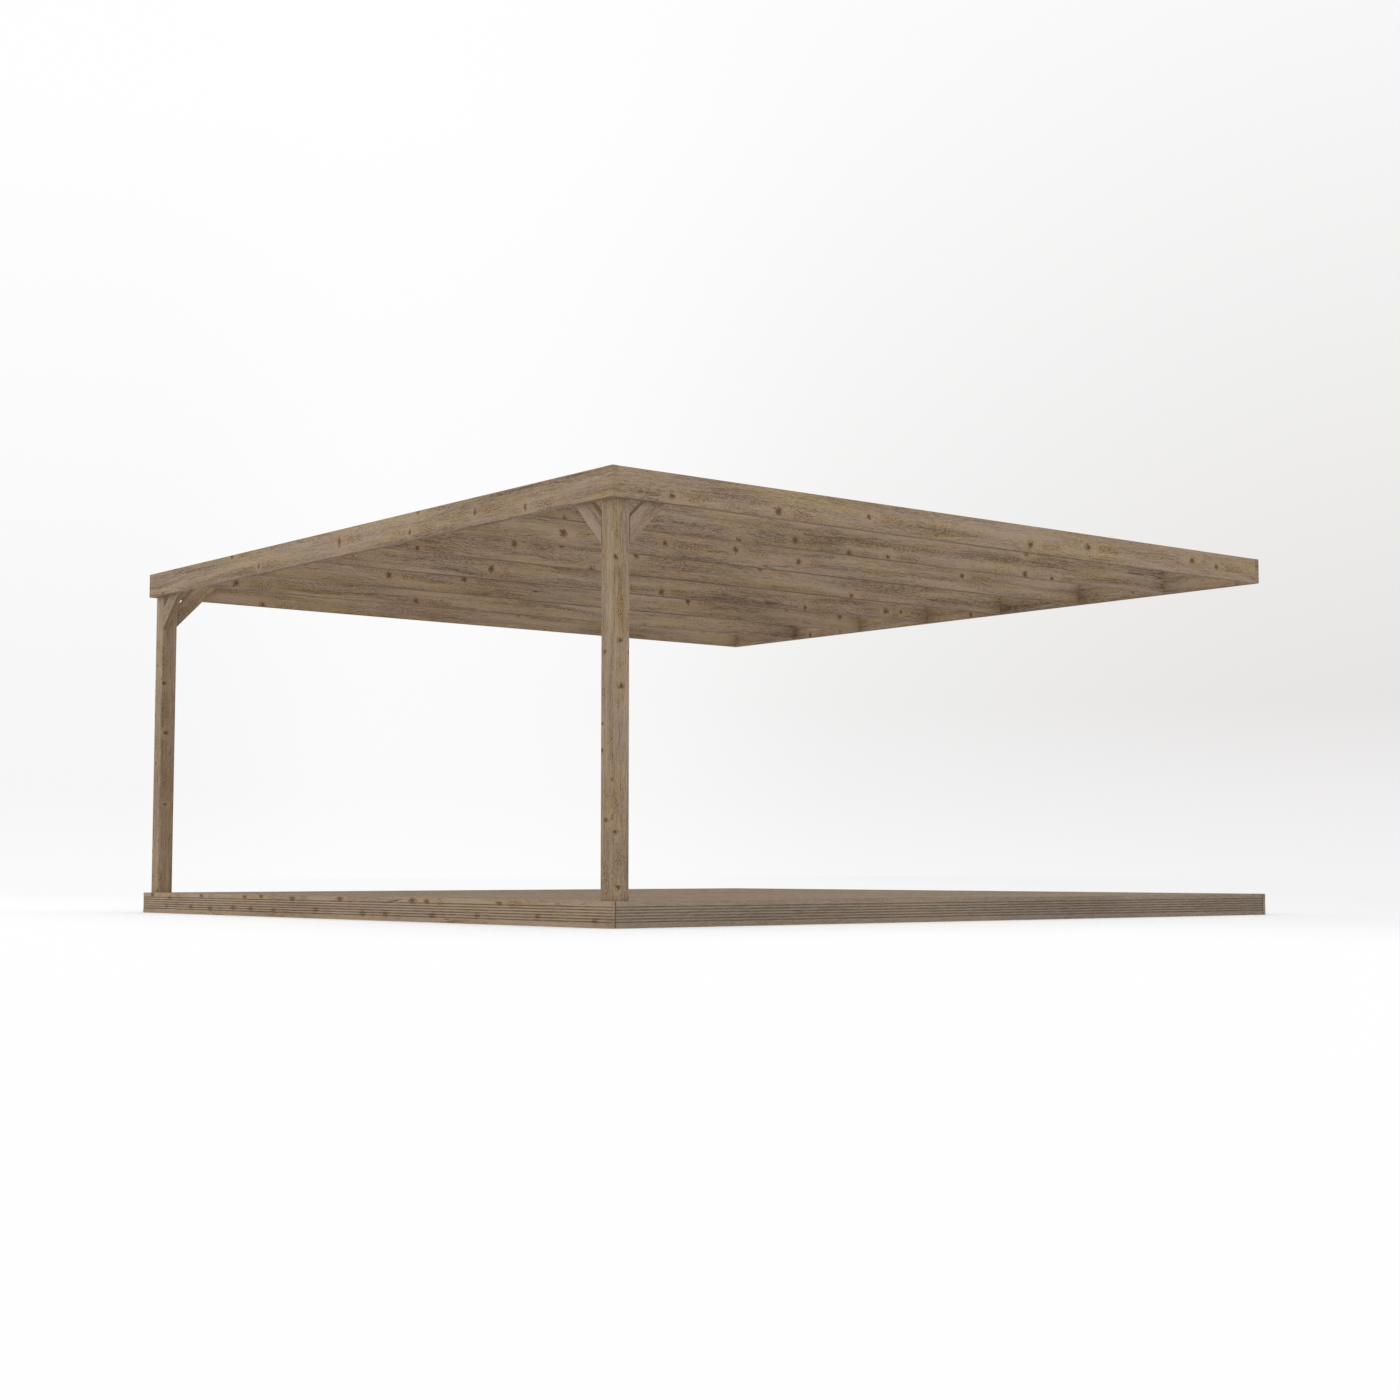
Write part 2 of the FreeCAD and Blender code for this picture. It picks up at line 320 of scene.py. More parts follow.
# %% Timber group: a place on each face
NARROW_FACE_SHIFT = 3.7               # keeps a narrow face's pattern off the broad ones
SEED_ALONG = 3.71                     # how far one seed lies from the next, in metres
SEED_ASIDE = 1.37

along, across, through = timber.split(given["Place"])
past_across = timber.minus(timber.unsigned(across), given["Half across"])
past_through = timber.minus(timber.unsigned(through), given["Half through"])
on_narrow = timber.sum("GREATER_THAN", past_across, past_through)
on_broad = timber.minus(1.0, on_narrow)
side = timber.plus(timber.times(across, on_broad),
                   timber.times(timber.plus(through, NARROW_FACE_SHIFT), on_narrow))
shifted_along = timber.plus(along, timber.times(seed, SEED_ALONG))
shifted_side = timber.plus(side, timber.times(seed, SEED_ASIDE))
timber.report("a place on each face")

# %% [markdown]
# ## The way the grain flows
# Grain runs almost straight, wanders a little and swerves round each knot. Instead of drawing
# curved lines, the pattern stays straight and the place it is read at is moved aside. Every
# layer that reads this moved place then flows round the knots together with the others.

# %% Timber group: knots and the flow of the grain
WANDER = 0.02
ANY_KNOT = 0.001                      # a size above this means that there is a knot

knot = timber.node("ShaderNodeGroup", {
    "Place": timber.join(shifted_along, shifted_side, 0.0), "Share": given["Knots"],
    "Spacing": given["Knot spacing"], "Length": given["Knot length"],
}, node_tree=knots.tree).outputs
from_knot = knot["Distance"]
size = knot["Size"]
push = knot["Push"]
has_knot = timber.sum("GREATER_THAN", size, ANY_KNOT)
wander = timber.noise(timber.join(
    timber.times(shifted_along, 0.9), timber.times(shifted_side, 3.5), seed), 1.0)
flow_side = timber.plus(timber.minus(shifted_side, push),
                        timber.ramp(wander, 0.2, 0.8, -WANDER, WANDER))
timber.report("knots and flow")

# %% [markdown]
# ## Patterns that follow the grain
# Wood shows something at every scale: broad bands, strokes as wide as a pencil line, fine
# streaks, single fibres and a fine mottling where the surface has broken up. Each is the same
# noise, stretched along the grain by its own amount. One noise with much detail would be
# simpler, but all its detail would be stretched alike. The level reads another slice of the
# noise, so that no pattern repeats one of the others.

# %% Timber group: patterns and rings
def field(per_metre_along, per_metre_aside, detail=2.0, rough=0.5, level=0.0, bent=True):
    """Noise that is stretched along the grain, and follows it round the knots if bent."""
    return timber.noise(timber.join(
        timber.times(shifted_along, per_metre_along),
        timber.times(flow_side if bent else shifted_side, per_metre_aside),
        timber.plus(seed, level),
    ), detail, rough)


bands = field(0.8, 15.0)
drift = field(0.7, 3.0, 1.0, level=3.1)
strokes = field(4.0, 105.0, 2.0, 0.6, level=4.1)
streaks = field(15.0, 280.0, 3.0, 0.65, level=5.3)
fibres = field(34.0, 720.0, 3.0, 0.7, level=7.7)
mottling = field(75.0, 150.0, 2.0, 0.6, level=9.1)

aside = timber.join(0.0, timber.times(push, on_broad), timber.times(push, on_narrow))
late = timber.node("ShaderNodeGroup", {
    "Place": timber.vector("SUBTRACT", given["Place"], aside),
    "Face place": timber.join(shifted_along, flow_side, seed), "Seed": seed,
}, node_tree=rings.tree).outputs["Late wood"]
timber.report("patterns and rings")

# %% [markdown]
# ## The colours of weathered wood
# Left outdoors, pine loses its yellow and turns to a soft grey brown. All the patterns push one
# tone up or down, and a colour ramp turns that tone into wood colours, which keeps the palette
# in one place. Mixing a colour for each pattern would soon give hues that wood doesn't have.
# Then come slow changes of hue, olive, mauve or golden, and a grey film where the sun and rain
# have washed the surface longest.

# %% Timber group: tone and colour
WOOD_TONES = (                        # from the darkest streak to the palest
    (0.00, (0.120, 0.074, 0.042)),
    (0.18, (0.185, 0.124, 0.076)),
    (0.36, (0.238, 0.167, 0.108)),
    (0.54, (0.292, 0.209, 0.138)),
    (0.74, (0.342, 0.249, 0.167)),
    (1.00, (0.402, 0.300, 0.206)),
)
GREY_TONES = (
    (0.00, (0.110, 0.085, 0.066)),
    (0.30, (0.178, 0.141, 0.112)),
    (0.56, (0.236, 0.191, 0.153)),
    (0.78, (0.282, 0.232, 0.189)),
    (1.00, (0.335, 0.281, 0.232)),
)
OLIVE_TINT = colour(1.010, 1.015, 0.880)
MAUVE_TINT = colour(0.975, 0.967, 1.045)
WARM_TINT = colour(1.045, 0.990, 0.860)
MIDDLE_TONE = 0.56

tone = timber.plus(given["Tone"], MIDDLE_TONE)
for pattern, weight in (
        (bands, timber.times(figure, 1.65)),
        (drift, 0.7),
        (strokes, timber.times_plus(figure, 0.55, 0.40)),
        (streaks, 1.6),
        (fibres, 1.5),
        (mottling, 1.0),
        (late, timber.times(figure, -0.26))):
    # Each pattern counts from its middle, so that none of them shifts the whole timber
    tone = timber.times_plus(timber.minus(pattern, 0.5), weight, tone)
wood = timber.tones(tone, WOOD_TONES)

hue = field(1.2, 11.0, level=11.9)
wood = timber.blend(timber.ramp(hue, 0.50, 0.68), wood, OLIVE_TINT, "MULTIPLY")
wood = timber.blend(timber.ramp(hue, 0.50, 0.34), wood, MAUVE_TINT, "MULTIPLY")
stain = field(3.0, 24.0, 3.0, level=13.1)
wood = timber.blend(timber.ramp(stain, 0.52, 0.68), wood, WARM_TINT, "MULTIPLY")
film = field(1.2, 6.0, 3.0, level=17.5, bent=False)
grey = timber.plus(given["Grey"], timber.ramp(film, 0.50, 0.75, 0.0, 0.35))
wood = timber.blend(grey, wood, timber.tones(tone, GREY_TONES))
timber.report("tone and colour")

# %% [markdown]
# ## Flecks
# Behind many knots the wood is torn and full of small dark flecks, and a few more lie elsewhere.
# They could be scattered as points, as the knots are, but flecks run into each other. So they
# are the peaks of a fine noise. The height from which a peak shows falls towards the middle of
# a flecked patch, so the flecks are thick there and thin out towards its edge.

# %% Timber group: flecks
FLECK = colour(0.078, 0.044, 0.024)
KNOT_SURROUND = colour(0.385, 0.268, 0.160)

behind = knot["Behind"]
wood = timber.blend(timber.times(behind, 0.28), wood, KNOT_SURROUND)
wood = timber.blend(timber.times(behind, 0.6), wood, WARM_TINT, "MULTIPLY")
lone = timber.ramp(field(3.0, 16.0, 1.0, level=19.3), 0.60, 0.72, 0.0, 0.6)
flecked = timber.larger(behind, timber.times(lone, figure))
specks = field(74.0, 155.0, 3.0, 0.66, level=37.0)
shows_from = timber.ramp(flecked, 0.0, 1.0, 0.68, 0.515)
fleck = timber.times(
    timber.ramp(specks, shows_from, timber.plus(shows_from, 0.07)),
    timber.ramp(flecked, 0.0, 0.15),
    timber.ramp(fibres, 0.35, 0.55, 0.65, 1.0))
wood = timber.blend(timber.times(fleck, 0.95), wood, FLECK)
timber.report("flecks")

# %% [markdown]
# ## The wood of a knot
# Seen from outside in, a knot has smooth pale wood round it, a dark soft rim, then its own
# narrow rings, because a branch is a small tree, and a heart that is nearly black. Each is a
# ramp on the distance from the knot's middle, measured in knot sizes, so that large and small
# knots are built alike.

# %% Timber group: knots
KNOT_WOOD = colour(0.160, 0.089, 0.045)
KNOT_HEART = colour(0.086, 0.044, 0.020)
BRANCH_RING = 0.0015


def round_knot(outer, inner):
    """One within so many knot sizes of a knot's middle, fading out to the outer of the two."""
    return timber.ramp(from_knot, timber.times(size, outer), timber.times(size, inner))


surround = timber.times(round_knot(5.0, 1.8), has_knot)
wood = timber.blend(timber.times(surround, 0.42), wood, KNOT_SURROUND)
rim = timber.times(round_knot(1.9, 0.8), has_knot)
wood = timber.blend(timber.times(rim, 0.42), wood, KNOT_WOOD)
inside = timber.times(round_knot(1.0, 0.7), has_knot)
ring_wave = timber.sum("PINGPONG", from_knot, BRANCH_RING)
branch_rings = timber.ramp(ring_wave, 0.0, BRANCH_RING, 0.0, 0.5)
dark_part = timber.larger(branch_rings, round_knot(0.55, 0.25))
knot_colour = timber.blend(dark_part, KNOT_WOOD, KNOT_HEART)
wood = timber.blend(timber.times(inside, 0.9), wood, knot_colour)
timber.report("knots")

# %% [markdown]
# ## Drying cracks
# The sun dries the face of a timber faster than its heart, and it splits in thin lines along
# the grain. A contour line of a stretched noise is just that: long, thin and never crossing
# itself. A second, slow noise picks the few stretches where it opens. Close to a knot the grain
# is held together, so the cracks stop short of it.

# %% Timber group: drying cracks
CRACK_DARK = colour(0.035, 0.022, 0.014)
CRACK_EDGES = (0.009, 0.002)          # how near to the contour a crack starts and is full

contour = timber.unsigned(timber.minus(field(0.8, 16.0, 1.0, level=23.0), 0.5))
open_here = timber.times(
    timber.ramp(field(2.0, 5.0, 1.0, level=30.7, bent=False), 0.60, 0.68),
    timber.ramp(from_knot, KNOT_REACH / 2, KNOT_REACH))
crack = timber.times(timber.ramp(contour, *CRACK_EDGES), open_here)
wood = timber.blend(timber.times(crack, 0.75), wood, CRACK_DARK)
timber.report("drying cracks")

# %% [markdown]
# ## Worn and highlit edges, wet ends and shaded joints
# Sharp edges wear first: fibres break off and paler wood shows, in chips of a few millimetres;
# the pale edges are also a painted highlight along each arris. The ends drink water, go dark and
# show the rings as arcs. Where a board butts against another one, dirt and painted shade darken
# the last few millimetres. All of these follow from the distance to an edge or an end, which the
# half sizes give, so nothing has to be painted by hand.

# %% Timber group: edges and ends
PALE_WOOD = colour(*WOOD_TONES[4][1])
MIDDLE_WOOD = colour(*WOOD_TONES[3][1])
END_GRAIN = colour(0.150, 0.104, 0.068)
EDGE_WEAR_AND_HIGHLIGHT_DEPTHS = (0.002, 0.010)          # from the edge inwards
END_DEPTHS = (0.0035, 0.0005)
JOINT_DEPTHS = (0.010, 0.004)

to_edge = timber.times(timber.sum("MINIMUM", past_across, past_through), -1.0)
chips = field(18.0, 70.0, 3.0, level=31.0, bent=False)
# Pale chips along the edges: wear, and a painted highlight along each arris
worn_and_highlit = timber.ramp(to_edge, timber.ramp(chips, 0.35, 0.7, *EDGE_WEAR_AND_HIGHLIGHT_DEPTHS), 0.0)
wood = timber.blend(timber.times(worn_and_highlit, 0.30), wood, PALE_WOOD)
to_end = timber.minus(given["Half along"], timber.unsigned(along))
end_colour = timber.blend(timber.times(late, 0.5), MIDDLE_WOOD, END_GRAIN)
wood = timber.blend(timber.times(timber.ramp(to_end, *END_DEPTHS), 0.32), wood, end_colour)
# Dirt and painted shade where a board butts against another one
joint_dirt_and_shade = timber.times(timber.ramp(to_end, *JOINT_DEPTHS), given["Joint dirt and shade"])
wood = timber.blend(joint_dirt_and_shade, wood, CRACK_DARK)
timber.report("edges and ends")

# %% [markdown]
# ## Relief and dullness
# Soft early wood wears away and leaves fibres and late wood standing, knots stay proud, and
# cracks and flecks are hollows. Real geometry for that would take millions of faces, so the
# same patterns that colour the wood also give its height, and a Bump node reads it later.
# Weathered wood is dull throughout, a little less so on the dense wood of a knot.

# %% Timber group: relief
relief = timber.times(streaks, 0.35)
for pattern, weight in (
        (fibres, 0.35),
        (late, 0.18),
        (inside, 0.30),
        (crack, -1.6),
        (fleck, -0.4)):
    relief = timber.times_plus(pattern, weight, relief)
relief = timber.minus(relief, timber.times(timber.ramp(chips, 0.55, 0.75), worn_and_highlit))
dullness = timber.ramp(fibres, 0.3, 0.7, 0.70, 0.86)
timber.put(wood, result["Colour"])
timber.put(timber.times_plus(inside, -0.12, dullness), result["Roughness"])
timber.put(relief, result["Height"])
timber.report("complete")

# %% [markdown]
# ## From the scene's directions to the timber's own
# Each solid keeps its place in its mesh, so object coordinates are places in the whole pergola.
# The grain has to run along each timber, whichever way it lies. Unwrapping every piece would do
# it, but a Mapping node is enough: it turns and shifts the coordinates so that they run along,
# across and through one timber, with zero at its middle. The three directions are the rows of a
# rotation matrix, which gives the node's angles and its shift.

# %% Places along a timber
ALONG_WALL = Vector((1, 0, 0))
TO_WALL = Vector((0, 1, 0))
UP = Vector((0, 0, 1))


def middle_and_half(name):
    """The middle of a node's box and half its size."""
    low, high = (Vector(corner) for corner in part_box(name))
    return (low + high) / 2, (high - low) / 2


def timber_place(graph, middle, run, width):
    """Object coordinates turned to run along, across and through a timber."""
    turn = Matrix((run, width, run.cross(width)))
    return graph.node("ShaderNodeMapping", {
        "Vector": graph.node("ShaderNodeTexCoord").outputs["Object"],
        "Rotation": turn.to_euler("XYZ"), "Location": -(turn @ middle),
    }, vector_type="POINT").outputs["Vector"]


_, half = middle_and_half("front_beam")
beam_half_thickness, beam_half_height = half.y, half.z
print("a roof timber is", round(2000 * beam_half_thickness), "by",
      round(2000 * beam_half_height), "mm")

# %% [markdown]
# ## A material for one timber
# Each piece gets a material of its own, but all of them are small: the turned place, the timber
# group, and a dull surface with its relief. What makes one timber differ from another is a
# handful of numbers, its look.

# %% Dress one timber
RELIEF = 0.0016                       # metres of relief for a height of one
DULL_SHINE = 0.25


def new_material(name):
    """An empty node material."""
    material = bpy.data.materials.new(name)
    material.use_nodes = True
    material.node_tree.nodes.clear()
    return material, Graph(material.node_tree)


def wood_node(graph, place, seed, half_sizes, look):
    """The weathered timber group, for one timber's sizes and look."""
    half_along, half_across, half_through = half_sizes
    values = {"Place": place, "Seed": seed, "Half along": half_along,
              "Half across": half_across, "Half through": half_through}
    return graph.node("ShaderNodeGroup", {**values, **look}, node_tree=timber.tree).outputs


def finish(name, material, graph, wood_colour, made_wood):
    """A dull surface with the wood's relief, given to one piece."""
    bump = graph.node("ShaderNodeBump", {
        "Strength": 1.0, "Distance": RELIEF, "Height": made_wood["Height"]})
    shader = graph.node("ShaderNodeBsdfPrincipled", {
        "Base Color": wood_colour, "Roughness": made_wood["Roughness"],
        "Specular IOR Level": DULL_SHINE, "Normal": bump.outputs["Normal"]})
    graph.node("ShaderNodeOutputMaterial", {"Surface": shader.outputs["BSDF"]})
    nodes[name].data.materials.clear()
    nodes[name].data.materials.append(material)


def dress(name, seed, run, width, half_across, half_through, look, middle=None):
    """Gives one piece the weathered timber, laid its own way."""
    material, graph = new_material(name + "_wood")
    box_middle, half = middle_and_half(name)
    place = timber_place(graph, middle or box_middle, run, width)
    made_wood = wood_node(graph, place, seed, (max(half), half_across, half_through), look)
    finish(name, material, graph, made_wood["Colour"], made_wood)


print("relief of the wood:", 1000 * RELIEF, "mm at most")

# %% [markdown]
# ## The roof timbers
# The ledger, the front beam, the side beams and the rafters are one size of sawn timber. Each
# was sawn from another part of a tree, so each gets a seed of its own. The beams along the wall
# and those that run to it differ in their direction. The rafters have longer knots than the
# front beam, and the side beams are a little browner and plainer than the rafters. The ledger
# is made the darkest.

# %% Dress the roof timbers
RAFTER_LOOK = {"Knots": 0.54, "Knot spacing": 0.85, "Knot length": 1.45}
SIDE_BEAM_LOOK = {**RAFTER_LOOK, "Knots": 0.5, "Grey": -0.12, "Figure": 0.8, "Tone": 0.03}
side_beams = ["side_beam_left", "side_beam_right"]
rafters = sorted(name for name in nodes if name.startswith("rafter_"))
for number, (name, brightness) in enumerate((("front_beam", 0.03), ("wall_ledger", -0.07))):
    dress(name, 21.0 + number, ALONG_WALL, UP, beam_half_height, beam_half_thickness,
          {"Tone": brightness})
for number, name in enumerate(side_beams + rafters):
    look = SIDE_BEAM_LOOK if name in side_beams else RAFTER_LOOK
    dress(name, 26.0 + number, TO_WALL, UP, beam_half_height, beam_half_thickness, look)
print("roof timbers: 2 along the wall,", len(side_beams + rafters), "towards it")

# %% [markdown]
# ## The posts
# The posts are square, so the knots come out on all four faces and closer together than on the
# beams. Their figure is plainer and their tone more even. The group takes the same measures,
# with up as the direction along.

# %% Dress the posts
POST_LOOK = {"Knots": 0.6, "Knot spacing": 0.55, "Grey": -0.08, "Figure": 0.7}
for number, name in enumerate(["post_left", "post_right"]):
    _, half = middle_and_half(name)
    dress(name, 31.0 + number, UP, ALONG_WALL, half.x, half.y, POST_LOOK)
    print(name, "is", round(2000 * half.x), "mm wide")

# %% [markdown]
# ## The knee braces
# A brace fills the corner between post and beam, and its grain runs along its slope. Its lower
# edge is the diagonal of its box, so its middle lies half its depth from there, towards the
# corner. The two unit vectors for the slope and for the way to the corner are all that the
# Mapping node needs to turn the grain to 45 degrees.

# %% Dress the braces
BRACE_HALF_DEPTH = 0.0555
BRACE_HALF_THICKNESS = 0.0225
BRACE_LOOK = {"Knots": 0.25, "Grey": -0.15, "Figure": 0.7}
braces = [                            # name, level way to the corner, tone
    ("brace_front_left", -ALONG_WALL, 0.08),
    ("brace_front_right", ALONG_WALL, 0.08),
    ("brace_side_left", -TO_WALL, 0.01),
    ("brace_side_right", -TO_WALL, 0.01),
]
for number, (name, level_way, brightness) in enumerate(braces):
    corner_way = (level_way + UP).normalized()
    slope = (UP - level_way).normalized()
    middle, _ = middle_and_half(name)
    dress(name, 52.0 + number, slope, corner_way, BRACE_HALF_DEPTH, BRACE_HALF_THICKNESS,
          {**BRACE_LOOK, "Tone": brightness}, middle + corner_way * BRACE_HALF_DEPTH)
print("braces:", len(braces))

# %% [markdown]
# ## Grooves
# The deck's edge boards and its walking boards have fine grooves along them. The grooves are in
# the solid shape already, but what makes them show is colour. The groove floors are darker: dirt
# that water leaves there, and painted shade. The ridges are paler: rubbed by feet and weather,
# and a painted highlight. Blender could find hollows by ray casting, which is slow and doesn't
# survive an export. Here both follow from two measures: the distance to the nearest groove
# line, and how deep a point lies under the board's face.

# %% Group: dirt and painted shade in the grooves
GROOVE_PITCH = 0.017
GROOVE_HALF_MOUTH = 0.0045
GROOVE_MARGIN = 0.001
GROOVE_DEEPEST = 0.0036               # a little more than the groove's 3 mm
# Dirt and painted shade darken the groove floors, starting at the first depth and full at the
# second
GROOVE_DIRT_AND_SHADE_DEPTHS = (0.0002, 0.0022)        # dirt starts at the first and is full at the second
GROOVE_DIRT_AND_SHADE = colour(0.108, 0.078, 0.052)
RIDGE_WOOD = colour(*WOOD_TONES[5][1])

grooves, given, result = new_group(
    "dirt and shade in the grooves",
    [("Wood", COLOUR, None), ("Run", VALUE, 0.0), ("Across", VALUE, 0.0), ("Depth", VALUE, 0.0),
     ("Half run", VALUE, 0.05), ("To end", VALUE, 1.0), ("Amount", VALUE, 0.7),
     ("Wear and highlight", VALUE, 0.35)],
    [("Colour", COLOUR)],
)
# An even number of grooves lies at odd halves of the pitch from the board's middle
zigzag = grooves.sum("PINGPONG", given["Across"], GROOVE_PITCH / 2)
off_line = grooves.minus(GROOVE_PITCH / 2, zigzag)
in_run = grooves.sum("LESS_THAN", grooves.unsigned(given["Across"]), given["Half run"])
in_mouth = grooves.sum("LESS_THAN", off_line, GROOVE_HALF_MOUTH + GROOVE_MARGIN)
near_face = grooves.sum("LESS_THAN", given["Depth"], GROOVE_DEEPEST)
# Dirt and painted shade on the groove floors
on_floor = grooves.times(in_run, in_mouth, near_face, grooves.ramp(given["Depth"], *GROOVE_DIRT_AND_SHADE_DEPTHS))
# Wear and a painted highlight on the ridges
ridge = grooves.times(grooves.ramp(off_line, GROOVE_HALF_MOUTH, GROOVE_PITCH / 2), in_run)
rubbed_and_highlit = grooves.blend(grooves.times(ridge, given["Wear and highlight"]), given["Wood"], RIDGE_WOOD)
# Water that runs out of the grooves leaves a stain on the board's end
run_off = grooves.times(grooves.ramp(off_line, GROOVE_HALF_MOUTH, 0.0015), in_run,
                        grooves.ramp(given["To end"], 0.0010, 0.0), 0.7)
# Rain washes some stretches clean, and the dirt and painted shade vary along the grooves with them
stretches = grooves.noise(grooves.join(
    grooves.times(given["Run"], 11.0), grooves.times(given["Across"], 59.0), 0.0))
dirt_and_shade = grooves.times(grooves.larger(on_floor, run_off),
                     grooves.ramp(stretches, 0.36, 0.62, 0.72, 1.20), given["Amount"])
grooves.put(grooves.blend(dirt_and_shade, rubbed_and_highlit, GROOVE_DIRT_AND_SHADE), result["Colour"])
grooves.report("complete")

# %% [markdown]
# ## The deck's edge boards
# Four boards frame the deck from the ground up. The front one is as knotty as the beams. Those
# at the sides are plainer and have gone greyer, and they butt against the front one, so their
# ends are darkened by dirt and painted shade. The knots of all four are drawn out along the
# board, because the grooves would chop a round one into ticks. A table gives each board its
# direction and its look, and a loop does the rest.

# %% Dress the edge boards
EDGE_GROOVES = 6
EDGE_KNOTS = {"Knot spacing": 0.45, "Knot length": 2.8}
FRONT_LOOK = {"Grey": 0.0, "Knots": 0.5, "Figure": 1.0, "Tone": 0.26}
BACK_LOOK = {"Grey": 0.35, "Knots": 0.3, "Figure": 0.6, "Tone": 0.18}
SIDE_LOOK = {"Grey": 0.6, "Knots": 0.0, "Figure": 0.12, "Tone": 0.08, "Joint dirt and shade": 0.80}


def soiled_and_shaded(graph, wood_colour, place, depth, half_along, count, amount, wear_and_highlight):
    """Over a grooved board's wood: dirt and painted shade in the grooves, wear and painted
    highlight on the ridges.
    """
    run, width, _ = graph.split(place)
    return graph.node("ShaderNodeGroup", {
        "Wood": wood_colour, "Run": run, "Across": width, "Depth": depth,
        "To end": graph.minus(half_along, graph.unsigned(run)),
        "Half run": count * GROOVE_PITCH / 2, "Amount": amount, "Wear and highlight": wear_and_highlight,
    }, node_tree=grooves.tree).outputs["Colour"]


# The dirt column darkens with dirt and painted shade, the wear column pales with wear and a painted
# highlight
edge_boards = [                       # name, direction, look, dirt, wear
    ("deck_edge_front", ALONG_WALL, FRONT_LOOK, 0.60, 0.60),
    ("deck_edge_back", ALONG_WALL, BACK_LOOK, 0.50, 0.30),
    ("deck_edge_left", TO_WALL, SIDE_LOOK, 0.52, 0.20),
    ("deck_edge_right", TO_WALL, SIDE_LOOK, 0.52, 0.20),
]
for number, (name, run_way, look, amount, wear_and_highlight) in enumerate(edge_boards):
    material, graph = new_material(name + "_wood")
    middle, half = middle_and_half(name)
    place = timber_place(graph, middle, run_way, UP)
    made_wood = wood_node(graph, place, 62.0 + number, (max(half), half.z, min(half)),
                          {**EDGE_KNOTS, **look})
    depth = graph.minus(min(half), graph.unsigned(graph.split(place)[2]))
    board_colour = soiled_and_shaded(graph, made_wood["Colour"], place, depth, max(half), EDGE_GROOVES,
                          amount, wear_and_highlight)
    finish(name, material, graph, board_colour, made_wood)
print("edge boards:", len(edge_boards), "with", EDGE_GROOVES, "grooves each")

# %% [markdown]
# ## The walking boards
# Forty boards run from the front to the wall, ten in each solid. Cutting them apart isn't
# needed. One material dresses all ten: the place across the deck, divided by the board pitch,
# gives each board's number, and that number picks its own grain and tone. Feet rub the boards
# a little rosy, and rain draws a dark stain out of each screw, longer along the grain.

# %% Measure the walking boards and joists
BOARD_GAP = 0.004
BOARDS_IN_GROUP = 10
BOARD_GROOVES = 8


def board_pitch(name):
    """From one board's left edge to the next one's."""
    low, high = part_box(name)
    return (high[0] - low[0] + BOARD_GAP) / BOARDS_IN_GROUP


board_groups = sorted(name for name in nodes if name.startswith("deck_boards_"))
joists = sorted(name for name in nodes if name.startswith("deck_joist_"))
joist_middles = sorted(middle_and_half(name)[0].y for name in joists)
joist_spacing = (joist_middles[-1] - joist_middles[0]) / (len(joists) - 1)
print(len(board_groups) * BOARDS_IN_GROUP, "boards at a pitch of",
      round(board_pitch(board_groups[0]), 4), "and joists", round(joist_spacing, 4), "apart")

# %% Dress the walking boards
BOARD_LOOK = {"Grey": 0.30, "Knots": 0.35, "Figure": 0.7}
BOARD_TONES = (0.05, 0.23)
FIRST_SEED, SEED_STEP, GROUP_STEP = 51.0, 1.73, 20.0
FOOT_WORN = colour(0.985, 0.945, 0.940)
SCREW_FROM_MIDDLE = 0.051             # the middle of the third ridge from the board's middle
STAIN_RADII = (0.0095, 0.0030)
STAIN_STRETCH = 0.4

for number, name in enumerate(board_groups):
    material, graph = new_material(name + "_wood")
    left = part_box(name)[0][0]
    middle, half = middle_and_half(name)
    pitch = board_pitch(name)
    half_width = (pitch - BOARD_GAP) / 2
    group_place = timber_place(graph, Vector((left, middle.y, middle.z)), TO_WALL, ALONG_WALL)
    run, from_left, downwards = graph.split(group_place)
    # Counted from the middle of a gap, so that both sides of a board belong to it
    from_gap = graph.plus(from_left, BOARD_GAP / 2)
    board = graph.sum("FLOOR", graph.sum("DIVIDE", from_gap, pitch))
    width = graph.minus(from_left, graph.times_plus(board, pitch, half_width))
    board_seed = graph.times_plus(board, SEED_STEP, FIRST_SEED + GROUP_STEP * number)
    pick_tone = graph.sum("FRACT", graph.times(board_seed, 0.755))
    look = {**BOARD_LOOK, "Tone": graph.ramp(pick_tone, 0.0, 1.0, *BOARD_TONES)}
    place = graph.join(run, width, downwards)
    made_wood = wood_node(graph, place, board_seed, (half.y, half_width, half.z), look)
    rosy = graph.blend(1.0, made_wood["Colour"], FOOT_WORN, "MULTIPLY")
    depth = graph.plus(downwards, half.z)
    board_colour = soiled_and_shaded(graph, rosy, place, depth, half.y, BOARD_GROOVES, 0.5, 0.25)
    beside = graph.minus(graph.unsigned(width), SCREW_FROM_MIDDLE)
    away = graph.times(graph.sum("PINGPONG", run, joist_spacing / 2), STAIN_STRETCH)
    from_screw = graph.vector("LENGTH", graph.join(beside, away, 0.0))
    stained = graph.ramp(from_screw, *STAIN_RADII, 0.0, 0.55)
    board_colour = graph.blend(stained, board_colour, CRACK_DARK)
    finish(name, material, graph, board_colour, made_wood)
print("walking boards dressed in", len(board_groups), "materials")

# %% [markdown]
# ## The joists
# Thirteen joists carry the boards. They are hidden from most sides, so they only get the plain
# sawn timber, made a little darker.

# %% Dress the joists
JOIST_LOOK = {"Tone": -0.12, "Knots": 0.5}
for number, name in enumerate(joists):
    _, half = middle_and_half(name)
    dress(name, 141.0 + number, ALONG_WALL, UP, half.z, half.y, JOIST_LOOK)
print("joists:", len(joists))

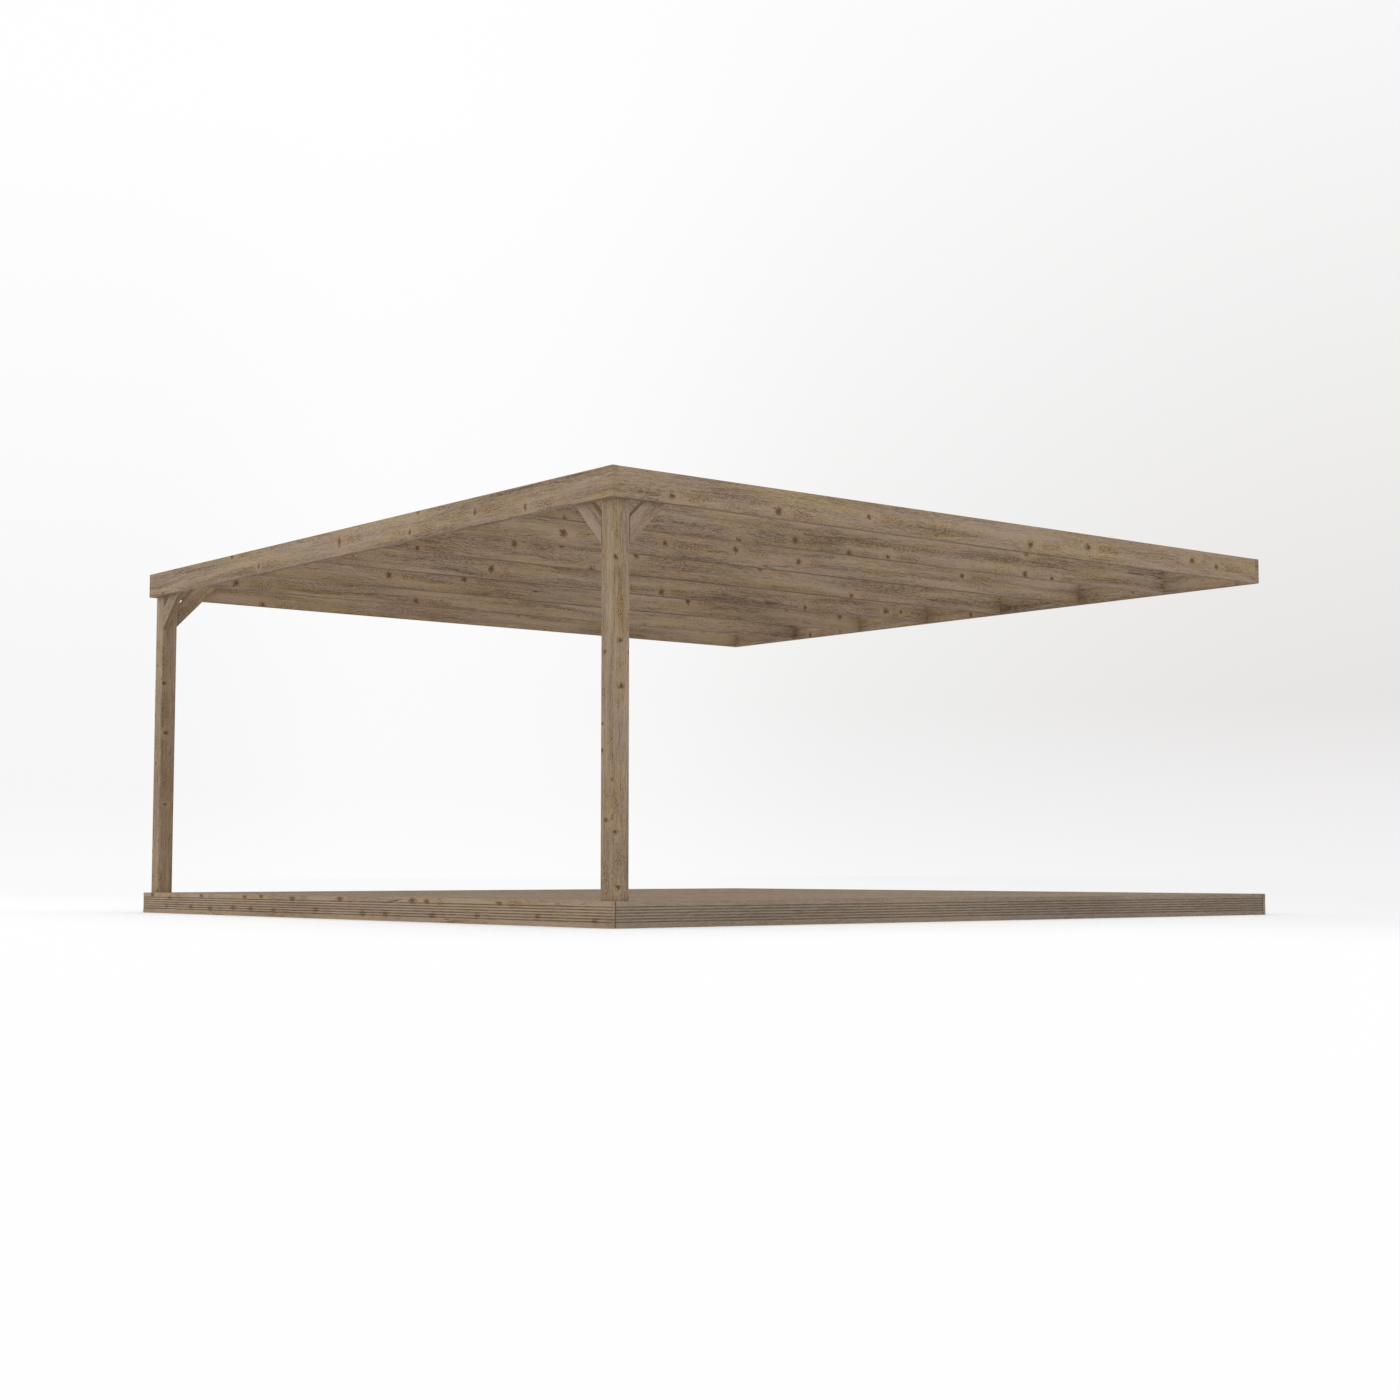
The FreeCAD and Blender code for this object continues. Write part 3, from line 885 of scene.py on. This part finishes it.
# %% [markdown]
# ## Deck screws: the rule and its sizes
# Two screws hold every board on every joist, about 21 mm in from the board's edges, through the
# ridge between two grooves. That is over a thousand heads, all alike, on a regular grid.
# Copies made by hand would be slow to change. Geometry Nodes state the rule instead, and its
# sizes are named inputs: change one, and all the screws follow.

# %% Geometry Nodes: named sizes
HEAD_RADIUS = 0.0039
HEAD_HEIGHT = 0.0016
HEAD_RISE = 0.0005                    # how far a head stands above the board
ROOM_BY_POST = 0.01
SOCKET_KINDS = {float: "NodeSocketFloat", int: "NodeSocketInt", tuple: "NodeSocketVector"}

deck_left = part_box(board_groups[0])[0][0]
deck_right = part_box(board_groups[-1])[1][0]
deck_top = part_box(board_groups[0])[1][2]
post_low, post_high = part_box("post_right")
screw_sizes = {
    "Head radius": HEAD_RADIUS,
    "Head height": HEAD_HEIGHT,
    "Board pitch": board_pitch(board_groups[-1]),
    "Joist spacing": joist_spacing,
    "From board middle": SCREW_FROM_MIDDLE,
    "Boards": BOARDS_IN_GROUP * len(board_groups),
    "Joists": len(joists),
    "Post inner side": post_low[0] - ROOM_BY_POST,
    "Post back": post_high[1] + ROOM_BY_POST,
    "Middle": ((deck_left + deck_right) / 2, (joist_middles[0] + joist_middles[-1]) / 2,
               deck_top + HEAD_RISE - HEAD_HEIGHT),
    "Seed": 7,
}
screws = Graph(bpy.data.node_groups.new("deck screws", "GeometryNodeTree"))
for label, value in screw_sizes.items():
    screws.tree.interface.new_socket(
        label, in_out="INPUT", socket_type=SOCKET_KINDS[type(value)])
screws.tree.interface.new_socket(
    "Screws", in_out="OUTPUT", socket_type="NodeSocketGeometry")
given = screws.node("NodeGroupInput").outputs
print("named sizes of the screws:", len(screw_sizes))

# %% [markdown]
# ## Deck screws: one head
# A head is a disc with a slightly sloping side and a recess with six lobes for the driver. It
# could be cut out with a boolean, which leaves many small faces. Here a short cone is enough:
# its top face is drawn inwards, every second corner of the new face is pulled in, which gives
# six lobes, and then the face is pressed down.

# %% Geometry Nodes: one screw head
HEAD_SIDES = 12
TOP_SHARE = 0.86                      # of the radius, at the head's top
RECESS_SHARE = 0.62                   # of the top, inside the rim
LOBE_PULL = (-0.30, -0.30, 0.0)
RECESS_DEPTH = -0.55                  # of the head's height, downwards

cone = screws.node("GeometryNodeMeshCone", {
    "Vertices": HEAD_SIDES, "Side Segments": 1,
    "Radius Top": screws.times(given["Head radius"], TOP_SHARE),
    "Radius Bottom": given["Head radius"], "Depth": given["Head height"],
}, fill_type="NGON").outputs
drawn = screws.node("GeometryNodeExtrudeMesh", {
    "Mesh": cone["Mesh"], "Selection": cone["Top"], "Offset Scale": 0.0,
}, mode="FACES").outputs
rim = screws.node("GeometryNodeScaleElements", {
    "Geometry": drawn["Mesh"], "Selection": drawn["Top"], "Scale": RECESS_SHARE,
}, domain="FACE").outputs
odd = screws.sum("MODULO", screws.node("GeometryNodeInputIndex").outputs[0], 2.0)
spot = screws.node("GeometryNodeInputPosition").outputs[0]
lobes = screws.node("GeometryNodeSetPosition", {
    "Geometry": rim[0], "Selection": screws.times(odd, drawn["Top"]),
    "Offset": screws.scaled(spot, LOBE_PULL)}).outputs
recess = screws.node("GeometryNodeExtrudeMesh", {
    "Mesh": lobes[0], "Selection": drawn["Top"],
    "Offset Scale": screws.times(given["Head height"], RECESS_DEPTH),
}, mode="FACES").outputs
head = screws.node("GeometryNodeStoreNamedAttribute", {
    "Geometry": recess["Mesh"], "Name": "head_place", "Value": spot,
}, data_type="FLOAT_VECTOR", domain="POINT").outputs[0]
screws.report("one head")

# %% [markdown]
# ## Deck screws: a place for each
# A grid with one point for each board and joist is made twice, moved to the left and to the
# right of the boards' middles. The few places under the posts are taken out again, because no
# screw can be driven there.

# %% Geometry Nodes: places
grid = screws.node("GeometryNodeMeshGrid", {
    "Size X": screws.times(screws.minus(given["Boards"], 1.0), given["Board pitch"]),
    "Size Y": screws.times(screws.minus(given["Joists"], 1.0), given["Joist spacing"]),
    "Vertices X": given["Boards"], "Vertices Y": given["Joists"]})
pair = screws.node("GeometryNodeJoinGeometry")
for way in (-1.0, 1.0):
    beside_middle = screws.join(screws.times(given["From board middle"], way), 0.0, 0.0)
    row = screws.node("GeometryNodeTransform", {
        "Geometry": grid.outputs["Mesh"],
        "Translation": screws.vector("ADD", given["Middle"], beside_middle)})
    screws.put(row.outputs[0], pair.inputs[0])
place_x, place_y, _ = screws.split(spot)
beyond = screws.sum("GREATER_THAN", screws.unsigned(place_x), given["Post inner side"])
under_post = screws.times(beyond, screws.sum("LESS_THAN", place_y, given["Post back"]))
places = screws.node("GeometryNodeDeleteGeometry", {
    "Geometry": pair.outputs[0], "Selection": under_post}, domain="POINT").outputs[0]
screws.report("places")

# %% [markdown]
# ## Deck screws: dull steel
# The heads are turned steel that has stood in the rain: fine rings from the lathe, brown
# blotches, dirt in the recess, and some heads browner than others. A stored attribute tells
# each point where it lies on its own head, so one material gives every head its rings. The
# blotches read the place on the whole deck, so no two heads have the same.

# %% Material: dull steel
STEEL = colour(0.430, 0.420, 0.400)
STEEL_STAIN = colour(0.150, 0.118, 0.088)
LATHE_RING = 0.00018
BLOTCH_NOISE = (420.0, 420.0, 420.0)
HEAD_NOISE = (9.0, 9.0, 1.0)          # slow enough to stain whole heads

steel, graph = new_material("screw_steel")
head_place = graph.node("ShaderNodeAttribute", attribute_type="GEOMETRY",
                        attribute_name="head_place").outputs["Vector"]
head_x, head_y, head_z = graph.split(head_place)
from_axis = graph.vector("LENGTH", graph.join(head_x, head_y, 0.0))
deck_place = graph.node("ShaderNodeTexCoord").outputs["Object"]
blotches = graph.noise(graph.scaled(deck_place, BLOTCH_NOISE))
which_head = graph.noise(graph.scaled(deck_place, HEAD_NOISE), 1.0)
in_recess = graph.ramp(from_axis, HEAD_RADIUS * 0.60, HEAD_RADIUS * 0.48)
low_down = graph.ramp(head_z, HEAD_HEIGHT * 0.42, HEAD_HEIGHT * 0.25)
stained = graph.larger(graph.times(in_recess, low_down), graph.ramp(blotches, 0.52, 0.66, 0.0, 0.6))
stained = graph.larger(stained, graph.ramp(which_head, 0.45, 0.70, 0.0, 0.7))
lathe_rings = graph.ramp(graph.sum("PINGPONG", from_axis, LATHE_RING), 0.0, LATHE_RING)
bump = graph.node("ShaderNodeBump", {
    "Strength": 0.6, "Distance": 0.0001, "Height": graph.plus(lathe_rings, blotches)})
shader = graph.node("ShaderNodeBsdfPrincipled", {
    "Base Color": graph.blend(stained, STEEL, STEEL_STAIN),
    "Metallic": graph.ramp(stained, 0.1, 0.8, 0.95, 0.10),
    "Roughness": graph.ramp(stained, 0.0, 1.0, 0.42, 0.80),
    "Normal": bump.outputs["Normal"]})
graph.node("ShaderNodeOutputMaterial", {"Surface": shader.outputs["BSDF"]})
print("dull steel:", len(graph.tree.nodes), "nodes")

# %% [markdown]
# ## Deck screws: a head on every place
# Each place gets the head, with its recess turned at random, as a driver leaves it. The seed is
# fixed, so every run turns them alike. The copies are made real and take their steel in the
# tree. The evaluated result is then turned into one plain mesh, because an exported model can't
# carry the modifier.

# %% Geometry Nodes: a head on every place
FULL_TURN = 6.283
turn = screws.node("FunctionNodeRandomValue", {
    "Min": (0.0, 0.0, 0.0), "Max": (0.0, 0.0, FULL_TURN), "Seed": given["Seed"],
}, data_type="FLOAT_VECTOR").outputs[0]
copies = screws.node("GeometryNodeInstanceOnPoints", {
    "Points": places, "Instance": head, "Rotation": turn}).outputs[0]
real = screws.node("GeometryNodeRealizeInstances", {"Geometry": copies}).outputs[0]
dressed = screws.node("GeometryNodeSetMaterial", {"Geometry": real, "Material": steel}).outputs[0]
screws.node("NodeGroupOutput", {"Screws": dressed})
screws.report("complete")

# %% Make the screws a plain mesh
FACES_IN_HEAD = 38
maker = bpy.data.objects.new("deck_screws_maker", bpy.data.meshes.new("deck_screws_maker"))
bpy.context.scene.collection.objects.link(maker)
modifier = maker.modifiers.new("screws", "NODES")
modifier.node_group = screws.tree
for socket in screws.tree.interface.items_tree:
    if socket.in_out == "INPUT":
        modifier[socket.identifier] = screw_sizes[socket.name]
evaluated = maker.evaluated_get(bpy.context.evaluated_depsgraph_get())
screws_mesh = bpy.data.meshes.new_from_object(evaluated)
bpy.data.objects.remove(maker)
deck_screws = bpy.data.objects.new("deck_screws", screws_mesh)
bpy.context.scene.collection.objects.link(deck_screws)
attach(deck_screws, "root")
screw_faces = len(screws_mesh.polygons)
print("deck screws:", screw_faces // FACES_IN_HEAD, "heads,", screw_faces, "faces")

# %% [markdown]
# ## The floor
# The pergola stands on a plain white floor. A white floor in plain light comes out grey, and
# more light would bleach the wood. So where the camera sees the floor directly it glows plain
# white, while for the light it is an ordinary pale floor. Under the deck and close round it the
# floor is only as bright as the light that gets there, so it keeps the deck's soft shadow.

# %% Floor: its mesh
FLOOR_HALF = 60.0
ground = solid_low[2]
floor_mesh = bpy.data.meshes.new("studio_floor")
floor_corners = [(right * FLOOR_HALF, back * FLOOR_HALF, ground)
                 for right, back in ((-1, -1), (1, -1), (1, 1), (-1, 1))]
floor_mesh.from_pydata(floor_corners, [], [(0, 1, 2, 3)])
floor = bpy.data.objects.new("studio_floor", floor_mesh)
bpy.context.scene.collection.objects.link(floor)
floor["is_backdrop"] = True
print("floor at", round(ground, 3))

# %% Floor: how white it shows
WHITE = colour(1.0, 1.0, 1.0)
PALE = colour(0.80, 0.80, 0.80)
TO_THE_RIGHT = (0.633, 0.774, 0.0)    # level, across the photo's view
LEFT_HORIZON = colour(0.958, 0.958, 0.958)
RIGHT_HORIZON_PAINTED_SHADE = colour(0.905, 0.895, 0.900)
SHADOW_REACH = 2.4


def seen_directly(graph):
    """One for what the camera sees directly, in a gloss or through glass, and zero for light."""
    path = graph.node("ShaderNodeLightPath").outputs
    seen = graph.larger(path["Is Camera Ray"], path["Is Glossy Ray"])
    return graph.larger(seen, path["Is Transmission Ray"])


floor_material, graph = new_material("studio_floor_white")
floor_place = graph.node("ShaderNodeTexCoord").outputs["Object"]
floor_x, floor_y, _ = graph.split(floor_place)
rightwards = graph.vector("DOT_PRODUCT", floor_place, TO_THE_RIGHT)
# Behind the pergola and far off, the glow turns to the backdrop's greys: painted shade, greyer on
# the right
horizon = graph.blend(graph.ramp(rightwards, -6.0, 7.0), LEFT_HORIZON, RIGHT_HORIZON_PAINTED_SHADE)
painted_shade_towards_horizon = graph.larger(graph.ramp(floor_y, -5.6, -0.6),
                               graph.ramp(graph.vector("LENGTH", floor_place), 20.0, 42.0))
glow = graph.node("ShaderNodeEmission", {"Color": graph.blend(painted_shade_towards_horizon, WHITE, horizon)})
direct = graph.node("ShaderNodeLightPath").outputs["Is Camera Ray"]
lit = graph.node("ShaderNodeBsdfDiffuse", {"Color": graph.blend(direct, PALE, WHITE)})

# The distance from the deck's outline
middle_y = (solid_low[1] + solid_high[1]) / 2
past_side = graph.minus(graph.unsigned(floor_x), solid_high[0])
past_end = graph.minus(graph.unsigned(graph.minus(floor_y, middle_y)), solid_high[1] - middle_y)
from_deck = graph.vector("LENGTH", graph.join(
    graph.larger(past_side, 0.0), graph.larger(past_end, 0.0), 0.0))
shown = graph.times(graph.ramp(floor_y, -9.0, 3.0, 0.86, 1.0),
                    graph.ramp(from_deck, 0.0, SHADOW_REACH))
either = graph.node("ShaderNodeMixShader", (
    graph.times(seen_directly(graph), shown), lit.outputs[0], glow.outputs[0]))
graph.node("ShaderNodeOutputMaterial", {"Surface": either.outputs[0]})
floor.data.materials.append(floor_material)
print("floor material:", len(graph.tree.nodes), "nodes")

# %% [markdown]
# ## The backdrop
# The backdrop is the world itself, so there is no wall to cast or catch a shadow. It shows pale
# greys that change slowly with height, a little greyer on the right of the camera's view: painted
# shade, with a darker band there that is a painted shadow behind the pergola, and a paler stretch
# near the middle that is a painted pool of light. For the light it is one even white from all
# round, so that the wood's own colours show.

# %% World
WORLD_LIGHT = 0.92
LEFT_PAINTED_SHADE_GREYS = ((0.000, 0.958), (0.035, 0.925), (0.085, 0.930), (0.180, 0.960), (0.330, 0.995))
RIGHT_PAINTED_SHADE_GREYS = (
    (0.000, (0.905, 0.895, 0.900)), (0.030, (0.870, 0.855, 0.862)), (0.075, (0.795, 0.785, 0.775)),
    (0.180, (0.850, 0.840, 0.835)), (0.400, (0.950, 0.950, 0.950)))

world = bpy.data.worlds.new("studio")
world.use_nodes = True
world.node_tree.nodes.clear()
graph = Graph(world.node_tree)
direction = graph.node("ShaderNodeTexCoord").outputs["Generated"]
_, _, rise = graph.split(direction)
sideways = graph.vector("DOT_PRODUCT", direction, TO_THE_RIGHT)
# Painted shade: greys by height, darker on the right, where a band is a painted shadow
left_wall_painted_shade = graph.tones(rise, [(height, (grey, grey, grey)) for height, grey in LEFT_PAINTED_SHADE_GREYS])
right_wall_painted_shade = graph.tones(rise, RIGHT_PAINTED_SHADE_GREYS)
wall = graph.blend(graph.ramp(sideways, -0.17, 0.32), left_wall_painted_shade, right_wall_painted_shade)
# A paler stretch near the middle: a painted pool of light
middle_painted_light = graph.times(graph.ramp(sideways, -0.26, -0.14),
                          graph.ramp(sideways, 0.08, -0.10), 0.45)
wall = graph.blend(middle_painted_light, wall, WHITE)
seen_wall = graph.node("ShaderNodeBackground", {"Color": wall, "Strength": 1.0})
soft_light = graph.node("ShaderNodeBackground", {"Color": WHITE, "Strength": WORLD_LIGHT})
either = graph.node("ShaderNodeMixShader", (
    seen_directly(graph), soft_light.outputs[0], seen_wall.outputs[0]))
graph.node("ShaderNodeOutputWorld", {"Surface": either.outputs[0]})
bpy.context.scene.world = world
print("backdrop:", len(world.node_tree.nodes), "nodes, light of", WORLD_LIGHT)

# %% [markdown]
# ## Lamps
# Even light alone leaves the faces flat. Two large round softboxes, one in front and a weaker
# one at the side, make each face of a beam a little lighter or darker than the next, without
# hard shadows.

# %% Lamps
SOFTBOX_WIDTH = 8.0
AIM = Vector((0, -3, -1))             # the middle of the pergola
for name, place, power in (("front_softbox", (-7.0, -15.0, 5.0), 200.0),
                           ("side_softbox", (17.0, -5.0, 3.0), 65.0)):
    lamp = bpy.data.lights.new(name, "AREA")
    lamp.shape = "DISK"
    lamp.size = SOFTBOX_WIDTH
    lamp.energy = power
    holder = bpy.data.objects.new(name, lamp)
    holder.location = place
    holder.rotation_euler = (AIM - holder.location).to_track_quat("-Z", "Y").to_euler()
    bpy.context.scene.collection.objects.link(holder)
    print(name, round((AIM - holder.location).length, 1), "m away,", power, "W")

# %% [markdown]
# ## Camera
# The camera stands where the photo was taken, low and to the front right, a little above the
# ground, and looks slightly up into the roof. Its place, its direction and its lens were worked
# out from the long straight edges: those that are parallel on the real thing meet in one point
# of the picture.

# %% Camera
YAW = radians(39.292)                 # from the camera's forward direction to the wall's line
PITCH = radians(4.458)
LENS = 55.84
SENSOR = 36.0
FARTHEST = 200.0
EYE = Vector((12.7519, -13.3363, 0.3315 + ground))

camera_data = bpy.data.cameras.new("photo_camera")
camera_data.sensor_fit = "HORIZONTAL"
camera_data.sensor_width = SENSOR
camera_data.lens = LENS
camera_data.clip_end = FARTHEST
camera = bpy.data.objects.new("photo_camera", camera_data)
camera.location = EYE
forward = Vector((-cos(YAW) * cos(PITCH), sin(YAW) * cos(PITCH), sin(PITCH)))
camera.rotation_euler = forward.to_track_quat("-Z", "Y").to_euler()
bpy.context.scene.collection.objects.link(camera)
bpy.context.scene.camera = camera
bpy.context.scene.view_settings.view_transform = "Standard"
print("camera at", [round(v, 2) for v in EYE], "with a lens of", LENS, "mm")

# %% [markdown]
# ## Sizes before and after
# The dressing must not make the pergola any larger. The box of the solids was kept at the start;
# here the dressed pergola's box is measured, and its largest difference from the first is printed.

# %% Sizes before and after
visual_low, visual_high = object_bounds()
growth = max(abs(new - old) for new, old in zip([*visual_low, *visual_high],
                                                [*solid_low, *solid_high]))
print("the dressed pergola's box differs by", round(1000 * growth, 2), "mm")
